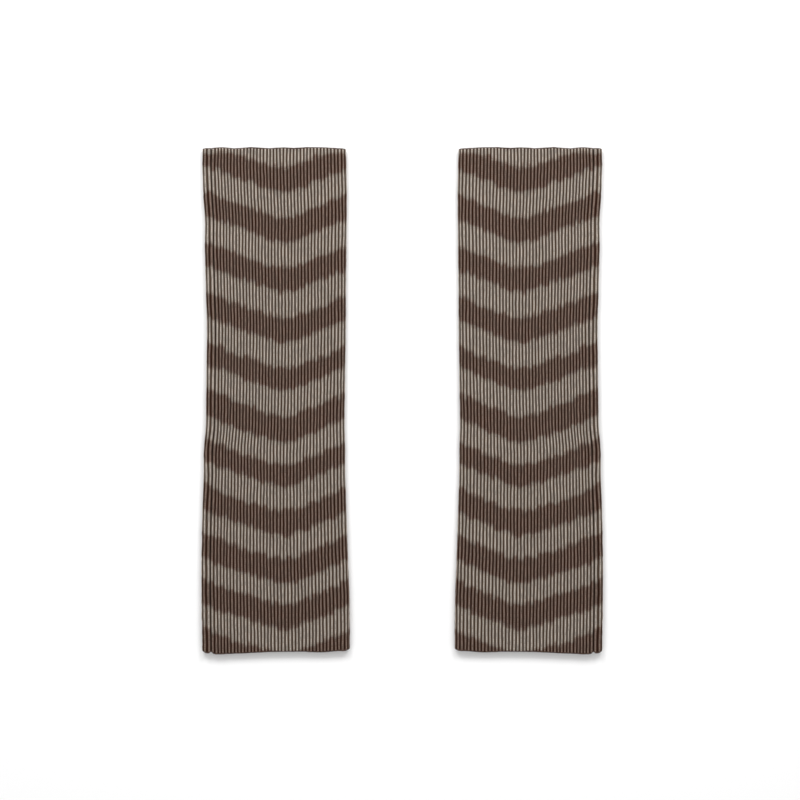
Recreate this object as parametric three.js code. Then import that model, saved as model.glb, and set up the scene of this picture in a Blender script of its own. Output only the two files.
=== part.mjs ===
import * as THREE from 'three';

/*
 * A pair of leg warmers: two straight tubes of 1x1 rib knit, open at both ends, laid flat side by
 * side. Millimetres. +X runs across the pair, +Y towards the bound-off top ends and +Z up. The
 * origin is on the surface that they lie on, in the middle of the pair.
 *
 * Each tube is two equal panels, joined by a seam at each side. The tube has rolled a little as it
 * was laid down, so the outer seam shows on top and the inner seam has gone under by as much. Every
 * panel is a wall of cloth through the sections below, from one end of the tube to the other.
 */

const LENGTH = 450; // of each tube, over its bound-off and cast-on edges
const TUBE_MIDDLE = 112.5; // from the middle of the pair to the middle line of each tube

const WALL = 3; // thickness of the rib knit
const FOLD_HEIGHT = 7.4; // of the tube at its two rounded side folds
const PANEL_GAP = 0.6; // between the front and the back where they lie on each other
const SETTLE_REACH = 26; // how far in from a fold the front has come down onto the back

const SEAM_IN = 8; // from a side fold to the seam that has rolled past it
const SEAM_GAP = 0.3; // between the two panels at a seam, and between a panel and its edge row
const SEAM_DIP = 0.9; // depth of the soft trough along the outer seam
const SEAM_DIP_REACH = 4; // from the seam to where the trough ends

const EDGE_ROW = 1.3; // the bound-off and cast-on rows, along the tube
const EDGE_WALL = 2.4; // thickness of these rows
const BACK_SHORTER = 0.8; // the underside ends this far inside the top
const NOTCH_DEPTH = 2.4; // the seam draws the cast-on edge up by this much
const NOTCH_REACH = 3.5; // from the seam to where that ends
const TOP_CORNER = { depth: 3, reach: 5 }; // rounding where the bound-off edge turns a fold
const BOTTOM_CORNER = { depth: 3.6, reach: 7 }; // the same at the cast-on edge

const TOP_STEPS = 20; // across the top, between the seam's trough and the inner fold
const TROUGH_STEPS = 3; // on each side of the outer seam
const FOLD_STEPS = 8; // round each side fold
const UNDER_STEPS = 5; // across the flat underside
const SLOPE_STEP = 0.25; // either side of a point, to find how steep the top is there

const KNIT_COLOUR = '#66594f';
const EDGE_COLOUR = '#3b2c25';

// Sections along a tube: how far down from the top end, how far the outer and the inner fold lie
// from its middle line, and how far the front swells up between them.
const SECTIONS = [
  { down: 0, outer: 64.8, inner: 62.8, swell: 0.5 },
  { down: 15, outer: 65.2, inner: 63.2, swell: 0.2 },
  { down: 40, outer: 64.3, inner: 63.6, swell: 0 },
  { down: 65, outer: 62.8, inner: 63.6, swell: 0.1 },
  { down: 95, outer: 62.9, inner: 63, swell: 0.4 },
  { down: 120, outer: 62.1, inner: 62.8, swell: 0.5 },
  { down: 160, outer: 61, inner: 62.6, swell: 0.2 },
  { down: 205, outer: 61.5, inner: 62, swell: 0 },
  { down: 250, outer: 62, inner: 61.4, swell: 0.3 },
  { down: 268, outer: 63.9, inner: 62.1, swell: 0.4 },
  { down: 295, outer: 64, inner: 62.2, swell: 0.2 },
  { down: 325, outer: 65, inner: 63.2, swell: 0 },
  { down: 365, outer: 65.8, inner: 64.4, swell: 0.2 },
  { down: 400, outer: 65.8, inner: 65.8, swell: 0.4 },
  { down: 430, outer: 65.3, inner: 66.2, swell: 0.3 },
  { down: LENGTH, outer: 65, inner: 66, swell: 0.6 },
];

// The wavy end lines, from the outer fold across: how far each lies inside the full length.
const TOP_END = [
  { across: 0, inset: 0.9 },
  { across: 9, inset: 0.9 },
  { across: 17, inset: 0 },
  { across: 28, inset: 1 },
  { across: 43, inset: 0.1 },
  { across: 60, inset: 1 },
  { across: 72, inset: 0.2 },
  { across: 81, inset: 0.9 },
  { across: 94, inset: 0 },
  { across: 110, inset: 0.3 },
  { across: 120, inset: 1.1 },
  { across: 128, inset: 1.3 },
];
const BOTTOM_END = [
  { across: 0, inset: 1.1 },
  { across: 8, inset: 0.9 },
  { across: 12, inset: 0 },
  { across: 17, inset: 0 },
  { across: 28, inset: 0.5 },
  { across: 44, inset: 1.2 },
  { across: 60, inset: 2.1 },
  { across: 90, inset: 2.3 },
  { across: 105, inset: 1.6 },
  { across: 121, inset: 2.9 },
  { across: 131, inset: 3.2 },
];

const FOLD_IN = FOLD_HEIGHT / 2; // from a side fold to where its round ends
const FOLD_RADIUS = (FOLD_HEIGHT - WALL) / 2; // of the middle of the cloth round a fold
const UNDER_HEIGHT = WALL / 2; // of the middle of the cloth on the underside
const TOP_HEIGHT = FOLD_HEIGHT - WALL / 2; // of the middle of the cloth on top, beside a fold
const SETTLE = FOLD_HEIGHT - 2 * WALL - PANEL_GAP; // how far the front comes down from there

function lineThrough(rows) {
  const places = Float64Array.from(rows, (row) => row.across);
  const insets = Float64Array.from(rows, (row) => row.inset);
  const line = new THREE.LinearInterpolant(places, insets, 1);
  return (across) => line.evaluate(across)[0];
}

const topInset = lineThrough(TOP_END);
const bottomInset = lineThrough(BOTTOM_END);

// 1 at the middle of a soft trough, level there and where it ends, at its reach.
function trough(distance, reach) {
  return 1 - THREE.MathUtils.smoothstep(Math.abs(distance), 0, reach);
}

// 1 at a corner, steep there and level at its reach.
function rounding(distance, reach) {
  return Math.max(0, 1 - Math.abs(distance) / reach) ** 2;
}

function steps(from, to, count) {
  return Array.from({ length: count + 1 }, (_, i) => from + ((to - from) * i) / count);
}

function widthOf(section) {
  return section.outer + section.inner;
}

function topHeight(across, section) {
  const width = widthOf(section);
  const fromFold = Math.min(across, width - across) - FOLD_IN;
  const settled = SETTLE * THREE.MathUtils.smoothstep(fromFold, 0, SETTLE_REACH);
  const dip = SEAM_DIP * trough(across - SEAM_IN, SEAM_DIP_REACH);
  const swell = section.swell * Math.sin((Math.PI * across) / width) ** 2;
  return TOP_HEIGHT - settled - dip + swell;
}

// A point in the middle of the cloth, with the direction that faces out of the tube there.
function onTop(across, section) {
  const rise = topHeight(across + SLOPE_STEP, section) - topHeight(across - SLOPE_STEP, section);
  const outward = new THREE.Vector2(-rise, 2 * SLOPE_STEP).normalize();
  return { across, height: topHeight(across, section), outward };
}

function atSeam(across, section) {
  return { across, height: topHeight(across, section), outward: new THREE.Vector2(0, 1) };
}

function roundFold(middle, angle) {
  const outward = new THREE.Vector2(Math.cos(angle), Math.sin(angle));
  const across = middle + FOLD_RADIUS * outward.x;
  return { across, height: FOLD_HEIGHT / 2 + FOLD_RADIUS * outward.y, outward };
}

function underneath(across) {
  return { across, height: UNDER_HEIGHT, outward: new THREE.Vector2(0, -1) };
}

// The front panel: from the outer seam over the top, round the inner fold, to the seam under it.
function frontPath(section) {
  const seam = SEAM_IN + SEAM_GAP / 2;
  const troughEnd = SEAM_IN + SEAM_DIP_REACH;
  const fold = widthOf(section) - FOLD_IN;
  const hiddenSeam = widthOf(section) - SEAM_IN + SEAM_GAP / 2;
  const besideSeam = steps(seam, troughEnd, TROUGH_STEPS).slice(1, -1);
  const top = [...besideSeam, ...steps(troughEnd, fold, TOP_STEPS).slice(0, -1)];
  const angles = steps(Math.PI / 2, -Math.PI / 2, FOLD_STEPS);
  return [
    atSeam(seam, section),
    ...top.map((across) => onTop(across, section)),
    ...angles.map((angle) => roundFold(fold, angle)),
    underneath(hiddenSeam),
  ];
}

// The back panel: from the hidden seam along the underside, round the outer fold, to the seam on top.
function backPath(section) {
  const hiddenSeam = widthOf(section) - SEAM_IN - SEAM_GAP / 2;
  const seam = SEAM_IN - SEAM_GAP / 2;
  const under = steps(hiddenSeam, FOLD_IN, UNDER_STEPS).slice(0, -1);
  const angles = steps(1.5 * Math.PI, 0.5 * Math.PI, FOLD_STEPS);
  const strip = steps(FOLD_IN, seam, TROUGH_STEPS).slice(1, -1);
  return [
    ...under.map(underneath),
    ...angles.map((angle) => roundFold(FOLD_IN, angle)),
    ...strip.map((across) => onTop(across, section)),
    atSeam(seam, section),
  ];
}

// How far the underside stays inside the top at this height, blended round the folds.
function hiddenInset(height) {
  return BACK_SHORTER * (1 - THREE.MathUtils.smoothstep(height, UNDER_HEIGHT, FOLD_HEIGHT / 2));
}

function cornerInset(across, width, corner) {
  return corner.depth * rounding(Math.min(across, width - across), corner.reach);
}

function topLine(point, width) {
  const corner = cornerInset(point.across, width, TOP_CORNER);
  return LENGTH / 2 - topInset(point.across) - corner - hiddenInset(point.height);
}

function bottomLine(point, width) {
  const corner = cornerInset(point.across, width, BOTTOM_CORNER);
  const isOnTop = point.height > FOLD_HEIGHT / 2;
  const notch = isOnTop ? NOTCH_DEPTH * rounding(point.across - SEAM_IN, NOTCH_REACH) : 0;
  const inset = bottomInset(point.across) + corner + notch + hiddenInset(point.height);
  return -LENGTH / 2 + inset;
}

// One row of a wall: its outer face along the path and its inner face back again.
function wallRow(path, section, side, thickness, lengthwise) {
  const place = (point, offset) => {
    const across = point.across + point.outward.x * offset;
    const x = side * (TUBE_MIDDLE + section.outer - across);
    return [x, lengthwise(point), point.height + point.outward.y * offset];
  };
  const outerFace = path.map((point) => place(point, thickness / 2));
  const innerFace = path.map((point) => place(point, -thickness / 2));
  return [...outerFace, ...innerFace.reverse()];
}

// Rows of matching points make one closed wall. Mirrored rows are taken in the opposite order, so
// that the faces of both tubes point outwards.
function wallGeometry(rows, side) {
  const ordered = side < 0 ? rows : [...rows].reverse();
  const ring = ordered[0].length;
  const lastRow = (ordered.length - 1) * ring;
  const triangles = [];
  const quad = (a, b, c, d) => triangles.push(a, b, c, a, c, d);
  for (let start = 0; start < lastRow; start += ring) {
    for (let i = 0; i < ring; i += 1) {
      const next = (i + 1) % ring;
      quad(start + i, start + ring + i, start + ring + next, start + next);
    }
  }
  for (let i = 0; i < ring / 2 - 1; i += 1) {
    const back = ring - 1 - i;
    quad(i, i + 1, back - 1, back);
    quad(lastRow + i, lastRow + back, lastRow + back - 1, lastRow + i + 1);
  }
  const geometry = new THREE.BufferGeometry();
  geometry.setAttribute('position', new THREE.Float32BufferAttribute(ordered.flat(2), 3));
  geometry.setIndex(triangles);
  geometry.computeVertexNormals();
  return geometry;
}

function knitPanel(pathOf, side) {
  const edge = EDGE_ROW + SEAM_GAP;
  const rows = SECTIONS.map((section) => {
    const width = widthOf(section);
    const lengthwise = (point) => {
      const top = topLine(point, width) - edge;
      const bottom = bottomLine(point, width) + edge;
      return THREE.MathUtils.lerp(top, bottom, section.down / LENGTH);
    };
    return wallRow(pathOf(section), section, side, WALL, lengthwise);
  });
  return wallGeometry(rows, side);
}

function edgeRow(pathOf, side, section, lineOf, inward) {
  const path = pathOf(section);
  const width = widthOf(section);
  const fromTop = inward < 0 ? [0, EDGE_ROW * inward] : [EDGE_ROW * inward, 0];
  const rows = fromTop.map((shift) => {
    const lengthwise = (point) => lineOf(point, width) + shift;
    return wallRow(path, section, side, EDGE_WALL, lengthwise);
  });
  return wallGeometry(rows, side);
}

function knitMesh(name, geometry, colour) {
  const material = new THREE.MeshStandardMaterial({ color: colour, roughness: 0.95, metalness: 0 });
  const mesh = new THREE.Mesh(geometry, material);
  mesh.name = name;
  return mesh;
}

function legWarmer(name, side) {
  const group = new THREE.Group();
  const topSection = SECTIONS[0];
  const bottomSection = SECTIONS[SECTIONS.length - 1];
  for (const [panel, pathOf] of Object.entries({ front: frontPath, back: backPath })) {
    const label = `${name}_${panel}`;
    const topEdge = edgeRow(pathOf, side, topSection, topLine, -1);
    const bottomEdge = edgeRow(pathOf, side, bottomSection, bottomLine, 1);
    group.add(knitMesh(label, knitPanel(pathOf, side), KNIT_COLOUR));
    group.add(knitMesh(`${label}_top_edge`, topEdge, EDGE_COLOUR));
    group.add(knitMesh(`${label}_bottom_edge`, bottomEdge, EDGE_COLOUR));
  }
  return group;
}

const pair = new THREE.Group();
pair.add(legWarmer('left', -1));
pair.add(legWarmer('right', 1));

export default pair;
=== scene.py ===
"""A pair of long leg warmers in 1x1 rib knit, laid flat side by side on a white table."""
import math

import bmesh
import bpy
import numpy as np
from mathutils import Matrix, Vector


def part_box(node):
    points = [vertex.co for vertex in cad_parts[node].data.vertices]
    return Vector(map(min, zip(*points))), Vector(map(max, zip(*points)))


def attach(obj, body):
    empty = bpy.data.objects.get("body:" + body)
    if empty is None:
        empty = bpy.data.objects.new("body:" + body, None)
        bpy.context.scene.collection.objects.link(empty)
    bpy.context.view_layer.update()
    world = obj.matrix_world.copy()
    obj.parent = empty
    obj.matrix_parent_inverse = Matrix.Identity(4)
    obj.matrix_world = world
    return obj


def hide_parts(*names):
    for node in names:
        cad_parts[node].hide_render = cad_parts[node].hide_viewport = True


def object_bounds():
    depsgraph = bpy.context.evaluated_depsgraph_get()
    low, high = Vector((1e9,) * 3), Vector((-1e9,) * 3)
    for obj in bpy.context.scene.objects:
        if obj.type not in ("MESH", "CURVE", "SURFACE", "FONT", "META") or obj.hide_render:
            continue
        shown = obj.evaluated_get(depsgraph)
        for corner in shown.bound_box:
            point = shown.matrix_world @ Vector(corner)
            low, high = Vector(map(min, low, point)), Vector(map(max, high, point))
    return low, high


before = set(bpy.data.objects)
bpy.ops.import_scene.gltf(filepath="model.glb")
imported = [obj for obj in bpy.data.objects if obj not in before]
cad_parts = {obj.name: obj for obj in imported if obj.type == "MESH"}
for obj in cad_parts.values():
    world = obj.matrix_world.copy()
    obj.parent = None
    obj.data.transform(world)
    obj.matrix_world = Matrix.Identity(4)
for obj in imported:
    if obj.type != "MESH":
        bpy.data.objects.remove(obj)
cad_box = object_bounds()
MM = 0.001

# ---------------------------------------------------------------- sizes, in millimetres
LENGTH = (cad_box[1][1] - cad_box[0][1]) / MM
FOLD_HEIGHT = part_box("left_back")[1][2] / MM  # over the rounded side folds
TUBE_MIDDLE = 112.5  # from the middle of the pair to the middle line of each tube
WALL = 3.0  # thickness of the rib knit
PANEL_GAP = 0.6  # between front and back where they lie on each other
SETTLE_REACH = 26.0  # how far in from a fold the front has come down onto the back
SEAM_IN = 8.0  # from a side fold to the seam that has rolled past it
SEAM_GAP = 0.2  # between the two panels at a seam
EDGE_ROW = 1.3  # the bound-off and cast-on rows, along the tube
BACK_SHORTER = 0.8  # so the front's ends hide the back's from above
FOLD_IN = FOLD_HEIGHT / 2
FOLD_RADIUS = (FOLD_HEIGHT - WALL) / 2
SETTLE = FOLD_HEIGHT - 2 * WALL - PANEL_GAP

PANEL_RIBS = 44  # in each of the two panels of a tube
POINTS_A_RIB = 6  # across one rib of the outer face
ROWS = 316  # along a panel
RIB_DEPTH = 1.15  # from the crest of a knit rib to the bottom of the purl groove
RIB_FULLNESS = 0.75  # below 1 the crest is broad and the groove is tight
COURSE = 2.0  # height of one row of stitches
RESTS_AT = 0.03  # the lowest stitches press flat on the table, a hair above it
SEED = 41

# Sections along a tube: how far down from the top end, how far the outer and the inner fold lie
# from its middle line, and how far the front swells up between them.
OUTER, INNER, SWELL = 1, 2, 3
SECTIONS = [
    # down, outer, inner, swell
    (0, 64.8, 62.8, 0.5),
    (15, 65.2, 63.2, 0.2),
    (40, 64.3, 63.6, 0.0),
    (65, 62.8, 63.6, 0.1),
    (95, 62.9, 63.0, 0.4),
    (120, 62.1, 62.8, 0.5),
    (160, 61.0, 62.6, 0.2),
    (205, 61.5, 62.0, 0.0),
    (250, 62.0, 61.4, 0.3),
    (268, 63.9, 62.1, 0.4),
    (295, 64.0, 62.2, 0.2),
    (325, 65.0, 63.2, 0.0),
    (365, 65.8, 64.4, 0.2),
    (400, 65.8, 65.8, 0.4),
    (430, 65.3, 66.2, 0.3),
    (450, 65.0, 66.0, 0.6),
]
SECTIONS_SOFTENED = 80  # the corners between sections are rounded over this part of the rows

# The wavy end lines: distance in from the outer fold, and how far inside the full length.
INSET = 1
TOP_END = [
    # across, inset
    (0, 0.9),
    (9, 0.9),
    (17, 0.0),
    (28, 1.0),
    (43, 0.1),
    (60, 1.0),
    (72, 0.2),
    (81, 0.9),
    (94, 0.0),
    (110, 0.3),
    (120, 1.1),
    (128, 1.3),
]
BOTTOM_END = [
    # across, inset
    (0, 1.1),
    (8, 0.9),
    (12, 0.0),
    (17, 0.0),
    (28, 0.5),
    (44, 1.2),
    (60, 2.1),
    (90, 2.3),
    (105, 1.6),
    (121, 2.9),
    (131, 3.2),
]
# Depth and reach of the rounding where an end turns a fold, and of the notch that the seam
# draws into the cast-on edge.
TOP_CORNER = (1.3, 3.2)
BOTTOM_CORNER = (2.6, 4.6)
NOTCH = (1.8, 2.6)

# Rib spacing from the first seam across each panel, before it is fitted to the panel's width.
FRONT_PITCHES = [
    # ribs, pitch
    (1, 3.3),
    (4, 2.72),
    (14, 2.88),
    (14, 2.96),
    (7, 3.06),
    (4, 3.3),
]
BACK_PITCHES = [
    # ribs, pitch
    (42, 2.97),
    (2, 3.6),
]

# Soft creases of a panel: distance across from the outer fold, where they start and end down
# the tube, depth (negative is a ridge) and half width.
CREASES = {
    "front": [
        # across, start, end, depth, half width
        (8.2, -40, 190, 0.7, 4.0),
        (8.2, 150, 330, 0.4, 3.6),
        (8.4, 280, 520, 0.9, 4.4),
        (15.5, -30, 260, -0.3, 5.0),
        (16.5, 210, 480, -0.4, 5.5),
        (98, -20, 150, 0.25, 9.0),
        (60, 300, 470, 0.25, 14.0),
        (112, 210, 420, 0.3, 8.0),
    ],
    "back": [
        # across, start, end, depth, half width
        (8.0, -40, 190, 0.7, 4.0),
        (8.0, 150, 330, 0.4, 3.6),
        (8.0, 280, 520, 0.9, 4.4),
    ],
}
SLOPE_STEP = 0.5  # over which the slope of the front is taken

# How unevenly the ribs lie: size, and reach in rows of the mesh.
LONG_WANDER = (0.07, 9)  # sideways, in ribs
SHORT_WANDER = (0.035, 1)
LONG_UNEVEN = (0.14, 4)  # up and down
SHORT_UNEVEN = (0.1, 1)

# Dark bands along the front's middle rib, down from the top end. The twelfth shows on the back.
DARK_BANDS = [
    # start, end
    (16.5, 40),
    (61.5, 84.5),
    (107, 129.5),
    (151.5, 174.5),
    (196.5, 217),
    (239, 263.5),
    (283, 303.5),
    (324, 347.5),
    (366.5, 390),
    (407.5, 431),
    (451.5, 476),
    (489, 511),
]
# How the bands rise away from that rib, in mm a rib: towards the outer and the inner fold, for
# the upper and the lower side of a dark band, and how many ribs the turn is rounded over.
RISES = {
    # outer, inner, turn
    "upper": (1.19, 1.42, 4.6),
    "lower": (1.06, 1.24, 1.6),
}
BACK_RISE = 43.0  # the bands have risen by this much at the middle rib of the back
SWITCH_SPREAD = 1.15  # how unevenly the ribs change colour at a band's side
SWITCH_MOST = 1.6  # no rib strays by more than this many spreads
PLAIN_START = 4.0  # the first rows of the top end are all in the light yarn
FAR_OUTSIDE = -99.0

# The bound-off and cast-on rows: a chain with one loop to each rib.
EDGE_POINTS_A_LOOP = 12
EDGE_POINTS_ROUND = 10
EDGE_SEED = 7
EDGE_UNEVEN = 0.12  # how much the loops differ in size
EDGE_HALF_WALL = 1.25
EDGE_NARROW = 0.78  # between two loops, as a share of the half wall
EDGE_LOOP_WIDER = 0.32
EDGE_HALF_REACH = 0.43 * EDGE_ROW
EDGE_LOOP_LONGER = 0.32
EDGE_MIDDLE_IN = 0.55  # middle of the chain inside the tube's end, as a share of the row
EDGE_SLANT = 0.35  # each loop leans by this angle, one way and back
PANEL_END_IN = 0.6  # the knit ends this share of the row inside the tube's end

# Each piece's own map: margin all round, and for a panel the shares of its outer and inner face.
UV_MARGIN = 0.005
UV_ROW_MARGIN = 0.01
UV_OUTER = 0.88
UV_INNER = (0.9, 0.09)  # start and width

# ---------------------------------------------------------------- colours
LIGHT_CREST = "#a69c92"
DARK_CREST = "#746359"
# Painted shade: the groove colours are the purl yarn, darkened further for the shade down in the
# grooves.
LIGHT_GROOVE_WITH_PAINTED_SHADE = "#473a30"
DARK_GROOVE_WITH_PAINTED_SHADE = "#2b170e"
EDGE_DARK = "#33241f"
EDGE_PALE = "#514039"
FIBRE_BLOOM = "#f0d8c4"
TABLE_WHITE = "#f8f8f8"


# ---------------------------------------------------------------- the shape of the cloth
def smooth_step(value, low, high):
    t = np.clip((value - low) / (high - low), 0, 1)
    return t * t * (3 - 2 * t)


def trough(distance, reach):
    """1 at the middle of a crease and 0 beyond its reach."""
    return 1 - smooth_step(np.abs(distance), 0, reach)


def rounding(distance, reach):
    """1 at a corner, falling quickly to 0 at its reach."""
    return np.clip(1 - np.abs(distance) / reach, 0, 1) ** 2


def table_at(table, column, places, blur=0):
    """A table's column at these places, with its corners softened over this many rows."""
    known = np.array(table, float)
    values = np.interp(places, known[:, 0], known[:, column])
    if blur:
        padded = np.pad(values, blur, mode="edge")
        span = 2 * blur + 1
        values = np.convolve(padded, np.ones(span) / span, "valid")
    return values


def soft_noise(rng, columns, size, reach):
    """Uneven values for every row and column, smooth down the rows over this reach."""
    half_as_strong, at_most = 0.55, 1.4
    rows = ROWS + 1
    raw = rng.standard_normal((rows + 6 * reach, columns))
    window = np.hanning(2 * reach + 3)[1:-1]
    window /= math.sqrt((window**2).sum())
    made = [np.convolve(raw[:, i], window, "valid")[:rows] for i in range(columns)]
    return size * np.clip(np.stack(made, 1) * half_as_strong, -at_most, at_most)


class Tube:
    """The laid-flat form of a tube at a list of rows down its length."""

    def __init__(self, down):
        blur = max(1, len(down) // SECTIONS_SOFTENED)
        self.down = down[:, None]
        self.outer = table_at(SECTIONS, OUTER, down, blur)[:, None]
        self.width = self.outer + table_at(SECTIONS, INNER, down, blur)[:, None]
        self.swell = table_at(SECTIONS, SWELL, down, 4 * blur)[:, None]

    def top_height(self, across, creases):
        """Height of the middle of the uppermost cloth, with the creases laid into it."""
        from_fold = np.minimum(across, self.width - across) - FOLD_IN
        height = FOLD_HEIGHT - WALL / 2 - SETTLE * smooth_step(from_fold, 0, SETTLE_REACH)
        height = height + self.swell * np.sin(np.pi * across / self.width) ** 2
        for place, start, end, depth, reach in creases:
            along = np.sin(np.pi * np.clip((self.down - start) / (end - start), 0, 1))
            height = height - depth * along * trough(across - place, reach)
        return height

    def middle(self, panel, share):
        """The middle of the cloth, this share of the way from a panel's first seam to its
        second: distance across, height, and the sideways and upward parts of its outward
        direction. The front starts on top and goes round the inner fold. The back starts
        underneath and goes round the outer fold."""
        arc = np.pi * FOLD_IN
        gap = SEAM_GAP / 2
        first_run = self.width - FOLD_IN - SEAM_IN - gap
        second_run = SEAM_IN - FOLD_IN - gap
        walked = share * (first_run + arc + second_run)
        before_fold = walked <= first_run
        round_fold = (walked - first_run) / FOLD_IN
        after_fold = round_fold >= np.pi
        past_fold = walked - first_run - arc
        if panel == "front":
            top, under = before_fold, after_fold
            top_across = SEAM_IN + gap + walked
            under_across = self.width - FOLD_IN - past_fold
            fold_middle = self.width - FOLD_IN
            angle = np.pi / 2 - round_fold
        else:
            top, under = after_fold, before_fold
            top_across = FOLD_IN + past_fold
            under_across = self.width - SEAM_IN - gap - walked
            fold_middle = FOLD_IN
            angle = 1.5 * np.pi - round_fold

        def where_it_lies(on_top, underneath, at_fold):
            return np.where(top, on_top, np.where(under, underneath, at_fold))

        creases = CREASES[panel]
        ahead = self.top_height(top_across + SLOPE_STEP / 2, creases)
        behind = self.top_height(top_across - SLOPE_STEP / 2, creases)
        slope = (ahead - behind) / SLOPE_STEP
        lean = np.sqrt(1 + slope**2)
        fold_across = fold_middle + FOLD_RADIUS * np.cos(angle)
        fold_height = FOLD_IN + FOLD_RADIUS * np.sin(angle)
        across = where_it_lies(top_across, under_across, fold_across)
        height = where_it_lies(self.top_height(top_across, creases), WALL / 2, fold_height)
        out_x = where_it_lies(-slope / lean, 0, np.cos(angle))
        out_z = where_it_lies(1 / lean, -1, np.sin(angle))
        return across, height, out_x, out_z

    def ends(self, across, height):
        """How far up the table the tube's top and bottom ends lie at these points."""
        edge = np.minimum(across, self.width - across)
        hidden = BACK_SHORTER * (1 - smooth_step(height, WALL / 2, FOLD_IN))
        top = LENGTH / 2 - table_at(TOP_END, INSET, across) - hidden
        top = top - TOP_CORNER[0] * rounding(edge, TOP_CORNER[1])
        notch = NOTCH[0] * rounding(across - SEAM_IN, NOTCH[1]) * (height > FOLD_IN)
        bottom = -LENGTH / 2 + table_at(BOTTOM_END, INSET, across) + hidden + notch
        bottom = bottom + BOTTOM_CORNER[0] * rounding(edge, BOTTOM_CORNER[1])
        return top, bottom

    def rows_between_ends(self, across, height):
        """How far up the table each row of the knit lies, from one edge row to the other."""
        top, bottom = self.ends(across, height)
        inside = EDGE_ROW * PANEL_END_IN
        return (top - inside) + (bottom - top + 2 * inside) * (self.down / LENGTH)


def rib_share(panel, rib):
    """How far across its panel a rib lies, as a share of the panel's whole width."""
    pitches = FRONT_PITCHES if panel == "front" else BACK_PITCHES
    known = np.concatenate([[pitch] * count for count, pitch in pitches])
    places = np.concatenate([[0], np.cumsum(known)]) / known.sum()
    return np.interp(rib, np.arange(PANEL_RIBS + 1), places)


def rib_profile(part):
    """Height of the rib at a part of its pitch, 0 in the grooves and 1 along the crest."""
    return np.abs(np.sin(np.pi * part)) ** RIB_FULLNESS


def band_rise(panel, rib, side):
    """How far the bands have risen at a rib, for the upper or lower side of a dark band."""
    outer_rise, inner_rise, turn = RISES[side]
    half = PANEL_RIBS / 2
    away = rib - half if panel == "front" else rib + half
    away = np.where(away > PANEL_RIBS, away - 2 * PANEL_RIBS, away)

    def climb(count, slope):
        on_front = slope * (np.sqrt(np.minimum(count, half) ** 2 + turn**2) - turn)
        at_seam = slope * (math.sqrt(half**2 + turn**2) - turn)
        round_back = np.sin(np.clip((count - half) / half, 0, 1) * np.pi / 2)
        return on_front + (BACK_RISE - at_seam) * round_back

    return np.where(away < 0, climb(-away, outer_rise), climb(away, inner_rise))


def dark_reach(panel, rib, down, rng):
    """How deep inside a dark band each point lies, in mm, or how far outside it when below 0.
    Every rib changes colour at a height of its own."""
    upper = down + band_rise(panel, rib, "upper")
    lower = down + band_rise(panel, rib, "lower")
    of_rib = np.minimum(rib.astype(int), PANEL_RIBS - 1)

    def strays():
        spreads = rng.standard_normal(PANEL_RIBS).clip(-SWITCH_MOST, SWITCH_MOST)
        return SWITCH_SPREAD * spreads[of_rib]

    reach = np.full(np.broadcast(upper, down).shape, FAR_OUTSIDE)
    for start, end in DARK_BANDS:
        begins = start + strays()
        stops = end + strays()
        reach = np.maximum(reach, np.minimum(upper - begins, stops - lower))
    return np.minimum(reach, down - PLAIN_START)


# ---------------------------------------------------------------- making the meshes
def to_frame(side, outer, across, along, height):
    """Millimetres in from the outer fold, up the table and above it, as points in metres."""
    x = side * (TUBE_MIDDLE + outer - across)
    return np.stack([x, along + 0 * x, height + 0 * x], -1) * MM


def place_verts(bm, places):
    for vert, place in zip(bm.verts, places):
        vert.co = place


def give_values(bm, name, values):
    layer = bm.verts.layers.float.new(name)
    for vert, value in zip(bm.verts, values):
        vert[layer] = value


def lay_uvs(bm, u, v):
    """The piece's own map, unrolled from its grid."""
    bm.verts.index_update()
    layer = bm.loops.layers.uv.new("OFBake")
    for face in bm.faces:
        for loop in face.loops:
            index = loop.vert.index
            loop[layer].uv = (u[index], v[index])


def edges_along(bm, start, count):
    """The edges that join count + 1 vertices in a row of the grid, from this one on."""
    chain = [bm.verts[start + i] for i in range(count + 1)]
    return [bm.edges.get(pair) for pair in zip(chain, chain[1:])]


def finish_piece(bm, name, node, material):
    bmesh.ops.recalc_face_normals(bm, faces=bm.faces)
    for face in bm.faces:
        face.smooth = True
    mesh = bpy.data.meshes.new(name)
    bm.to_mesh(mesh)
    bm.free()
    mesh.materials.append(material)
    piece = bpy.data.objects.new(name, mesh)
    bpy.context.scene.collection.objects.link(piece)
    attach(piece, "root")
    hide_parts(node)
    return piece


def ribbed_face(tube, panel, side, rib, rng):
    """The outer face: full knit ribs between purl grooves that wander sideways a little."""
    part = rib % 1
    of_rib = np.minimum(rib.astype(int), PANEL_RIBS - 1)
    wander = soft_noise(rng, PANEL_RIBS + 1, *LONG_WANDER)
    wander += soft_noise(rng, PANEL_RIBS + 1, *SHORT_WANDER)
    wander[:, [0, -1]] = 0
    shift = wander[:, of_rib] * (1 - part) + wander[:, of_rib + 1] * part
    share = rib_share(panel, rib[None, :] + shift)
    across, height, out_x, out_z = tube.middle(panel, share)
    uneven = soft_noise(rng, PANEL_RIBS, *LONG_UNEVEN)[:, of_rib]
    uneven = uneven + soft_noise(rng, PANEL_RIBS, *SHORT_UNEVEN)[:, of_rib]
    profile = rib_profile(part)[None, :]
    lift = WALL / 2 - RIB_DEPTH * (1 - profile) + uneven * profile
    along = tube.rows_between_ends(across, height)
    above_table = np.maximum(height + out_z * lift, RESTS_AT)
    return to_frame(side, tube.outer, across + out_x * lift, along, above_table)


def plain_face(tube, panel, side, rib):
    """The inner face, with one point to a rib."""
    across, height, out_x, out_z = tube.middle(panel, rib_share(panel, rib)[None, :])
    along = tube.rows_between_ends(across, height)
    inner_across = across - out_x * WALL / 2
    return to_frame(side, tube.outer, inner_across, along, height - out_z * WALL / 2)


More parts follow.
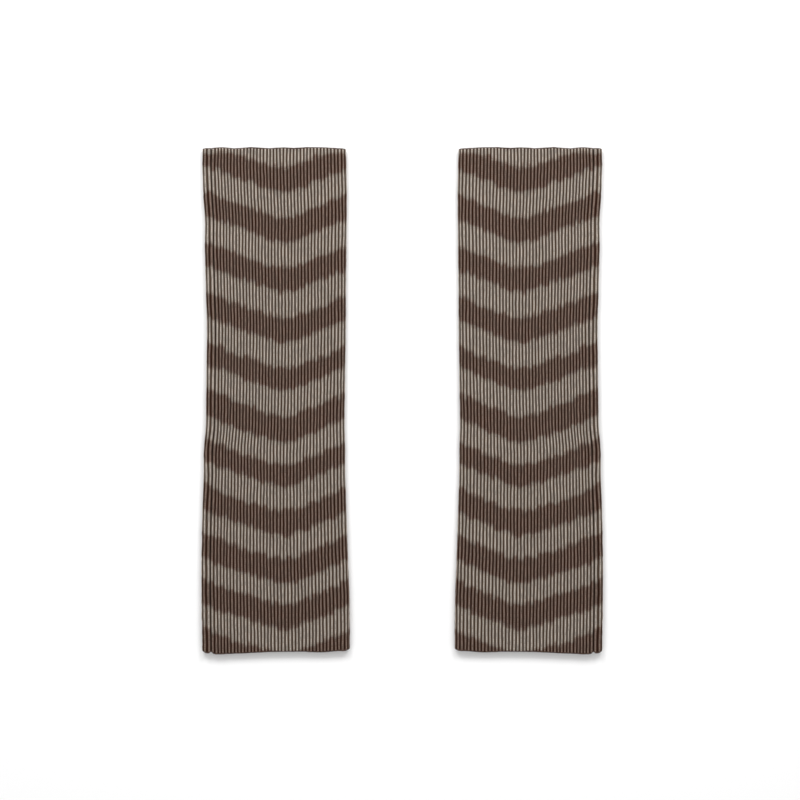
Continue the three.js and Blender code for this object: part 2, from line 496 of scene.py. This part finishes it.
def knit_panel(tube_name, panel, side, material):
    """One panel as a closed wall: a grid wrapped round both faces, with its two ends bridged."""
    rng = np.random.default_rng(SEED + (panel == "back"))
    down = np.linspace(0, LENGTH, ROWS + 1)
    tube = Tube(down)
    outer_count = PANEL_RIBS * POINTS_A_RIB
    outer_rib = np.arange(outer_count + 1) / POINTS_A_RIB
    inner_rib = np.arange(PANEL_RIBS, -1, -1)
    outer_face = ribbed_face(tube, panel, side, outer_rib, rng)
    inner_face = plain_face(tube, panel, side, inner_rib)
    wrapped = np.concatenate([outer_face, inner_face, outer_face[:, :1]], 1)
    columns = wrapped.shape[1]
    bm = bmesh.new()
    bmesh.ops.create_grid(bm, x_segments=columns - 1, y_segments=ROWS, size=1)
    place_verts(bm, wrapped.reshape(-1, 3))

    rib = np.concatenate([outer_rib, inner_rib, outer_rib[:1]])
    dark = dark_reach(panel, rib[None, :], down[:, None], rng)
    give_values(bm, "dark_reach", dark.reshape(-1))
    give_values(bm, "rib", np.tile(rib, ROWS + 1))
    give_values(bm, "down", np.repeat(down, columns))
    outer_u = UV_MARGIN + UV_OUTER * outer_rib / PANEL_RIBS
    inner_u = UV_INNER[0] + UV_INNER[1] * (1 - inner_rib / PANEL_RIBS)
    u = np.concatenate([outer_u, inner_u, [1 - UV_MARGIN]])
    v = np.linspace(UV_MARGIN, 1 - UV_MARGIN, ROWS + 1)
    lay_uvs(bm, np.tile(u, ROWS + 1), np.repeat(v, columns))

    bm.verts.ensure_lookup_table()
    first_column = [bm.verts[row * columns] for row in range(ROWS + 1)]
    last_column = [bm.verts[row * columns + columns - 1] for row in range(ROWS + 1)]
    ends = []
    for start in (0, ROWS * columns):
        outer_end = edges_along(bm, start, outer_count)
        ends.append(outer_end + edges_along(bm, start + outer_count + 1, PANEL_RIBS))
    for end in ends:
        bmesh.ops.bridge_loops(bm, edges=end)
    bmesh.ops.remove_doubles(bm, verts=first_column + last_column, dist=1e-7)
    node = f"{tube_name}_{panel}"
    return finish_piece(bm, f"{node}_knit", node, material)


def edge_row(tube_name, panel, which, side, material):
    """The bound-off or cast-on row along one end of a panel: a chain of tight loops."""
    rng = np.random.default_rng(SEED + EDGE_SEED + 2 * (panel == "back") + (which == "top"))
    count = PANEL_RIBS * EDGE_POINTS_A_LOOP
    rib = np.arange(count + 1) / EDGE_POINTS_A_LOOP
    tube = Tube(np.array([0.0 if which == "top" else LENGTH]))
    across, height, out_x, out_z = tube.middle(panel, rib_share(panel, rib)[None, :])
    top, bottom = tube.ends(across, height)
    end, outwards = (top, 1) if which == "top" else (bottom, -1)

    loop = rib_profile(rib)[None, :]
    loops = np.arange(PANEL_RIBS + 1)
    size = 1 + EDGE_UNEVEN * np.interp(rib, loops, rng.standard_normal(PANEL_RIBS + 1))
    thick = (EDGE_NARROW + EDGE_LOOP_WIDER * loop) * size * EDGE_HALF_WALL
    deep = (1 + EDGE_LOOP_LONGER * loop) * size * EDGE_HALF_REACH
    slant = EDGE_SLANT * np.sin(2 * np.pi * rib)[None, :]
    turn = np.linspace(0, 2 * np.pi, EDGE_POINTS_ROUND + 1)[:, None] + slant
    offset = thick * np.cos(turn)
    along = end - outwards * EDGE_ROW * EDGE_MIDDLE_IN + outwards * deep * np.sin(turn)
    above_table = np.maximum(height + out_z * offset, RESTS_AT)
    places = to_frame(side, tube.outer, across + out_x * offset, along, above_table)

    bm = bmesh.new()
    bmesh.ops.create_grid(bm, x_segments=count, y_segments=EDGE_POINTS_ROUND, size=1)
    place_verts(bm, places.reshape(-1, 3))
    give_values(bm, "rib", np.tile(rib, EDGE_POINTS_ROUND + 1))
    u = UV_MARGIN + (1 - 2 * UV_MARGIN) * rib / PANEL_RIBS
    v = np.linspace(UV_ROW_MARGIN, 1 - UV_ROW_MARGIN, EDGE_POINTS_ROUND + 1)
    lay_uvs(bm, np.tile(u, EDGE_POINTS_ROUND + 1), np.repeat(v, count + 1))
    bmesh.ops.remove_doubles(bm, verts=bm.verts, dist=1e-7)
    bmesh.ops.holes_fill(bm, edges=[e for e in bm.edges if e.is_boundary], sides=0)
    name = f"{tube_name}_{panel}_{which}"
    return finish_piece(bm, f"{name}_row", f"{name}_edge", material)


# ---------------------------------------------------------------- nodes of the materials
def colour(code):
    """An sRGB hex value as the linear colour that a shader takes."""
    parts = [int(code[i:i + 2], 16) / 255 for i in (1, 3, 5)]
    return [c / 12.92 if c <= 0.04045 else ((c + 0.055) / 1.055) ** 2.4 for c in parts] + [1]


def add(tree, kind, settings=None, **links):
    """A node with its settings. Each link names an input, or its number after a low line, and
    gives the socket that feeds it or a plain value."""
    node = tree.nodes.new(kind)
    for key, value in (settings or {}).items():
        setattr(node, key, value)
    for key, value in links.items():
        socket = node.inputs[int(key[1:]) if key[0] == "_" else key.replace("_", " ")]
        if hasattr(value, "links"):
            tree.links.new(value, socket)
        else:
            socket.default_value = value
    return node


def maths(tree, operation, *values):
    links = {f"_{i}": value for i, value in enumerate(values)}
    return add(tree, "ShaderNodeMath", {"operation": operation}, **links).outputs[0]


def spread(tree, value, low, high):
    """A value between 0 and 1, spread out between low and high."""
    return maths(tree, "MULTIPLY_ADD", value, high - low, low)


def step_between(tree, value, low, high):
    made = add(tree, "ShaderNodeMapRange", {"interpolation_type": "SMOOTHSTEP"},
               Value=value, From_Min=low, From_Max=high)
    return made.outputs["Result"]


def mix_colours(tree, how, factor, first, second):
    made = add(tree, "ShaderNodeMix", {"data_type": "RGBA", "blend_type": how},
               _0=factor, _6=first, _7=second)
    return made.outputs[2]


def read(tree, name):
    return add(tree, "ShaderNodeAttribute", {"attribute_name": name}).outputs["Fac"]


def one_for_each(tree, whole):
    """A chance value between 0 and 1 for each whole number."""
    made = add(tree, "ShaderNodeTexWhiteNoise", {"noise_dimensions": "1D"}, W=whole)
    return made.outputs["Value"]


def one_for_each_pair(tree, first, second):
    pair = add(tree, "ShaderNodeCombineXYZ", None, X=first, Y=second).outputs[0]
    made = add(tree, "ShaderNodeTexWhiteNoise", {"noise_dimensions": "2D"}, Vector=pair)
    return made.outputs["Value"]


# ---------------------------------------------------------------- materials
FIBRES_A_METRE = 1900.0  # loose fibres lie about half a millimetre apart
FIBRE_DETAIL = 2.0
FIBRE_HEIGHT = 0.3  # as a share of a stitch's height

STITCH_HEIGHT = 0.5  # mm
STITCH_SLANT = 2.2  # courses that a leg of the V climbs in one pitch
MARL_REACH = 6.25  # mm along a rib
MARL_BETWEEN_RIBS = 7.3  # far enough apart that no rib is marled as its neighbour is
MARL_DETAIL = 3.0
BAND_RAGGED = 1.6  # mm that single stitches stray over a band's side
BAND_FEATHER = 2.4  # mm over which the yarns change, either way
CREST_EDGE = (0.17, 0.36)  # parts of the pitch from the crest where it turns into groove
CREST_NARROWER = 0.07  # at single stitches
CREST_SWAY = 0.06  # along the marl
MARL_SHADE = (0.75, 1.25)
EACH_STITCH_SHADE = (0.75, 1.25)
# Painted highlight and shade on each stitch: lighter where it stands up, darker in the hollows
# between stitches.
STITCH_PAINTED_LIGHT_AND_SHADE = (0.66, 1.26)


def wool_shader(name):
    """Matt spun wool: no clear highlight, and a faint warm bloom from its loose fibres."""
    material = bpy.data.materials.new(name)
    material.use_nodes = True
    tree = material.node_tree
    shader = tree.nodes["Principled BSDF"]
    shader.inputs["Roughness"].default_value = 0.95
    shader.inputs["Specular IOR Level"].default_value = 0.05
    shader.inputs["Sheen Weight"].default_value = 0.04
    shader.inputs["Sheen Tint"].default_value = colour(FIBRE_BLOOM)
    shader.inputs["Sheen Roughness"].default_value = 0.6
    return material, tree, shader


def fibre_height(tree):
    place = add(tree, "ShaderNodeTexCoord").outputs["Object"]
    made = add(tree, "ShaderNodeTexNoise", None, Vector=place, Scale=FIBRES_A_METRE,
               Detail=FIBRE_DETAIL)
    return made.outputs["Fac"]


def rib_knit():
    """1x1 rib in two wool yarns. The knit ribs change between taupe and brown in wavy bands,
    and the purl grooves between them stay dark, from the yarn and from painted shade, so the
    cloth looks finely lined."""
    material, tree, shader = wool_shader("two_tone_wool_rib_knit")
    rib = read(tree, "rib")
    down = read(tree, "down")
    reach = read(tree, "dark_reach")
    of_rib = maths(tree, "FLOOR", rib)
    part = maths(tree, "FRACT", rib)
    from_crest = maths(tree, "ABSOLUTE", maths(tree, "SUBTRACT", part, 0.5))

    # Each rib is a column of V stitches, whose legs slant up from its middle.
    course = maths(tree, "DIVIDE", down, COURSE)
    course = maths(tree, "ADD", course, maths(tree, "MULTIPLY", from_crest, STITCH_SLANT))
    course = maths(tree, "ADD", course, one_for_each(tree, of_rib))
    wave = maths(tree, "SINE", maths(tree, "MULTIPLY", course, 2 * math.pi))
    stitch = maths(tree, "MULTIPLY_ADD", wave, 0.5, 0.5)

    # One value for each stitch, and a longer unevenness along each rib.
    each_stitch = one_for_each_pair(tree, of_rib, maths(tree, "FLOOR", course))
    between = maths(tree, "MULTIPLY", of_rib, MARL_BETWEEN_RIBS)
    along = maths(tree, "DIVIDE", down, MARL_REACH)
    lengthwise = add(tree, "ShaderNodeCombineXYZ", None, X=between, Y=along).outputs[0]
    marl = add(tree, "ShaderNodeTexNoise", {"noise_dimensions": "2D"},
               Vector=lengthwise, Scale=1.0, Detail=MARL_DETAIL).outputs["Fac"]

    # Which yarn shows, and whether it is seen on the crest or down in the groove, where painted
    # shade darkens it.
    ragged = maths(tree, "ADD", reach, spread(tree, each_stitch, -BAND_RAGGED, BAND_RAGGED))
    is_dark = step_between(tree, ragged, -BAND_FEATHER, BAND_FEATHER)
    edge = maths(tree, "MULTIPLY", each_stitch, CREST_NARROWER)
    edge = maths(tree, "ADD", edge, spread(tree, marl, -CREST_SWAY, CREST_SWAY))
    groove_shade_mask = step_between(tree, maths(tree, "ADD", from_crest, edge), *CREST_EDGE)
    crest = mix_colours(tree, "MIX", is_dark, colour(LIGHT_CREST), colour(DARK_CREST))
    # Painted shade: the groove colours are darker than the yarn alone, for the shade down in the
    # grooves.
    groove_colour_with_painted_shade = mix_colours(tree, "MIX", is_dark, colour(LIGHT_GROOVE_WITH_PAINTED_SHADE), colour(DARK_GROOVE_WITH_PAINTED_SHADE))
    base = mix_colours(tree, "MIX", groove_shade_mask, crest, groove_colour_with_painted_shade)

    # Random tone along the marl and from stitch to stitch, times painted highlight and shade on
    # each stitch: lighter where the stitch stands up, darker in the hollows between stitches.
    tone_and_painted_stitch_shade = maths(tree, "MULTIPLY", spread(tree, marl, *MARL_SHADE),
                  spread(tree, each_stitch, *EACH_STITCH_SHADE))
    tone_and_painted_stitch_shade = maths(tree, "MULTIPLY", tone_and_painted_stitch_shade, spread(tree, stitch, *STITCH_PAINTED_LIGHT_AND_SHADE))
    grey = add(tree, "ShaderNodeCombineColor", None, Red=tone_and_painted_stitch_shade, Green=tone_and_painted_stitch_shade, Blue=tone_and_painted_stitch_shade)
    shaded = mix_colours(tree, "MULTIPLY", 1.0, base, grey.outputs[0])
    tree.links.new(shaded, shader.inputs["Base Color"])

    # Stitches stand up by about half a millimetre, under fine loose fibres.
    height = maths(tree, "MULTIPLY_ADD", fibre_height(tree), FIBRE_HEIGHT, stitch)
    bump = add(tree, "ShaderNodeBump", None, Strength=0.6, Distance=STITCH_HEIGHT * MM,
               Height=height)
    tree.links.new(bump.outputs[0], shader.inputs["Normal"])
    return material


def edge_yarn():
    """The bound-off and cast-on rows: dark brown wool, pulled tight, so its loops look knotty."""
    material, tree, shader = wool_shader("dark_wool_bound_edge")
    half_loop = maths(tree, "FLOOR", maths(tree, "MULTIPLY", read(tree, "rib"), 2))
    each = one_for_each(tree, half_loop)
    base = mix_colours(tree, "MIX", each, colour(EDGE_DARK), colour(EDGE_PALE))
    tree.links.new(base, shader.inputs["Base Color"])
    bump = add(tree, "ShaderNodeBump", None, Strength=0.5, Distance=FIBRE_HEIGHT * MM,
               Height=fibre_height(tree))
    tree.links.new(bump.outputs[0], shader.inputs["Normal"])
    return material


def painted_board():
    """The table: flat white paint, which gives back soft light and no reflection."""
    material = bpy.data.materials.new("white_painted_board")
    material.use_nodes = True
    shader = material.node_tree.nodes["Principled BSDF"]
    shader.inputs["Base Color"].default_value = colour(TABLE_WHITE)
    shader.inputs["Roughness"].default_value = 0.9
    return material


# ---------------------------------------------------------------- the pair
def leg_warmer(name, side, knit, yarn):
    for panel in ("front", "back"):
        knit_panel(name, panel, side, knit)
        [edge_row(name, panel, which, side, yarn) for which in ("top", "bottom")]


# ---------------------------------------------------------------- table, light and camera
TABLE_HALF_SIDE = 6  # metres, as are the places below
LAMP_ASIDE = 0.5
LAMP_BEHIND = 1.0
LAMP_ABOVE = 1.05
LAMP_SIDE = 0.6
LAMP_POWER = 9.5
SKY_STRENGTH = 0.73
SHOWN_WIDTH = 0.711
CAMERA_MIDDLE = (-0.002, 0.0006)


def table_top():
    bm = bmesh.new()
    bmesh.ops.create_grid(bm, x_segments=1, y_segments=1, size=TABLE_HALF_SIDE)
    mesh = bpy.data.meshes.new("table")
    bm.to_mesh(mesh)
    bm.free()
    mesh.materials.append(painted_board())
    floor = bpy.data.objects.new("table", mesh)
    bpy.context.scene.collection.objects.link(floor)


def soft_light(name, aside):
    """A square lamp beyond the top ends of the pair, turned towards its middle."""
    lamp = bpy.data.lights.new(name, "AREA")
    lamp.shape = "SQUARE"
    lamp.size = LAMP_SIDE
    lamp.energy = LAMP_POWER
    light = bpy.data.objects.new(name, lamp)
    light.location = (aside, LAMP_BEHIND, LAMP_ABOVE)
    aim = -light.location
    light.rotation_euler = aim.to_track_quat("-Z", "Y").to_euler()
    bpy.context.scene.collection.objects.link(light)


def white_room():
    """Even white light from all round, which gives the soft shadows along the cloth."""
    world = bpy.data.worlds.new("white_room")
    world.use_nodes = True
    background = world.node_tree.nodes["Background"]
    background.inputs["Color"].default_value = (1, 1, 1, 1)
    background.inputs["Strength"].default_value = SKY_STRENGTH
    bpy.context.scene.world = world


def overhead_camera():
    """Straight above the pair, through a long lens."""
    lens = bpy.data.cameras.new("camera")
    lens.lens = 135
    lens.sensor_width = 36
    lens.clip_end = 50
    camera = bpy.data.objects.new("camera", lens)
    distance = SHOWN_WIDTH * lens.lens / lens.sensor_width
    camera.location = (*CAMERA_MIDDLE, distance)
    bpy.context.scene.collection.objects.link(camera)
    bpy.context.scene.camera = camera


knit_material = rib_knit()
edge_material = edge_yarn()
leg_warmer("left", -1, knit_material, edge_material)
leg_warmer("right", 1, knit_material, edge_material)
table_top()
soft_light("window_left", -LAMP_ASIDE)
soft_light("window_right", LAMP_ASIDE)
white_room()
overhead_camera()
bpy.context.scene.view_settings.view_transform = "Standard"
